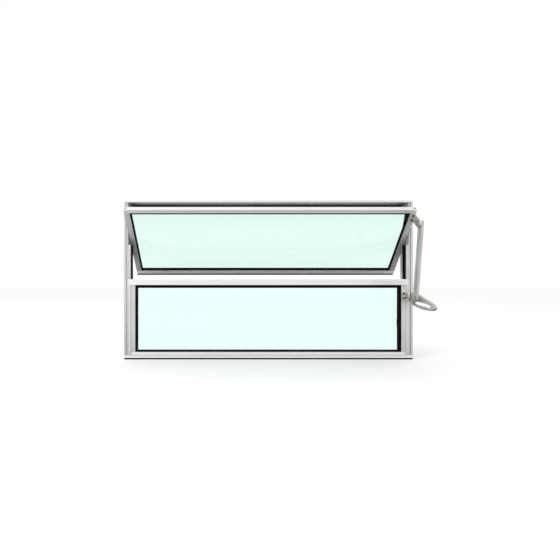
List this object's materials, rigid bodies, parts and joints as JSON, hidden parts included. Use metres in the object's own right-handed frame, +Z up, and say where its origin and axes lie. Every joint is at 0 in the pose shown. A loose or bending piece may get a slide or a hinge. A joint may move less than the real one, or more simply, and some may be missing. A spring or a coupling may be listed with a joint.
{
  "type": "tilting vent window",
  "caption": "Aluminium vent window with a fixed lower light and a pivoted upper sash, tilted by a side lever and link rod.",
  "frame": {"origin": "middle of the sill's seat, under the frame at half its depth", "axes": "+X along the sill towards the lever side, +Y from the room to the outside, +Z up"},
  "size_m": [0.6, 0.174, 0.33],
  "materials": {
    "anodised_aluminium": "satin natural anodised",
    "cast_aluminium": "satin, rounded edges",
    "glass": "clear, faint green",
    "rubber": "matt black",
    "screw_steel": "zinc plated",
    "nylon": "matt"
  },
  "bodies": {
    "frame": {"sill": "anodised_aluminium", "sill_base_seal": "rubber", "head": "anodised_aluminium", "head_stop": "anodised_aluminium", "left_jamb": "anodised_aluminium", "right_jamb": "anodised_aluminium", "transom": "anodised_aluminium", "transom_stop": "anodised_aluminium", "left_inner_stop": "anodised_aluminium", "right_inner_stop": "anodised_aluminium", "left_outer_stop": "anodised_aluminium", "right_outer_stop": "anodised_aluminium", "inner_jamb_seals": "rubber", "outer_jamb_seals": "rubber", "head_seal": "rubber", "transom_seal": "rubber", "left_bead": "anodised_aluminium", "right_bead": "anodised_aluminium", "bottom_bead": "anodised_aluminium", "left_rear_stop": "anodised_aluminium", "right_rear_stop": "anodised_aluminium", "bottom_rear_stop": "anodised_aluminium", "top_rear_stop": "anodised_aluminium", "lower_glass": "glass", "lower_front_gasket": "rubber", "lower_rear_gasket": "rubber", "setting_blocks": "nylon", "frame_screws": "screw_steel", "pivot_bushes": "nylon", "lever_bracket": "cast_aluminium", "lever_bracket_screws": "screw_steel", "lever_pivot_pin": "screw_steel", "lever_washer": "nylon"},
    "sash": {"sash_top_rail": "anodised_aluminium", "sash_bottom_rail": "anodised_aluminium", "sash_left_stile": "anodised_aluminium", "sash_right_stile": "anodised_aluminium", "sash_screws": "screw_steel", "sash_glass": "glass", "sash_room_gasket": "rubber", "sash_outer_gasket": "rubber", "sash_weather_strip": "rubber", "pivot_pins": "screw_steel", "rod_bracket": "cast_aluminium", "rod_bracket_screws": "screw_steel"},
    "lever": {"lever": "cast_aluminium", "crank_rivet": "screw_steel"},
    "rod": {"link_rod": "cast_aluminium", "rod_top_pin": "screw_steel"}
  },
  "joints": [
    {"name": "sash_tilt", "type": "hinge", "parent": "frame", "child": "sash", "pos_m": [0, 0.003, 0.244], "axis": [1, 0, 0], "range_deg": [-39.2, 6]},
    {"name": "lever_swing", "type": "hinge", "parent": "frame", "child": "lever", "pos_m": [0.2864, -0.0275, 0.1315], "axis": [1, 0, 0], "range_deg": [-65.4, 10.9]},
    {"name": "rod_swing", "type": "hinge", "parent": "lever", "child": "rod", "pos_m": [0.2788, -0.06336, 0.12836], "axis": [1, 0, 0], "range_deg": [-9.8, 58.5]}
  ],
  "couplings": [
    {"joint": "lever_swing", "follows": "sash_tilt", "ratio": 1.644},
    {"joint": "rod_swing", "follows": "sash_tilt", "ratio": -1.468}
  ]
}
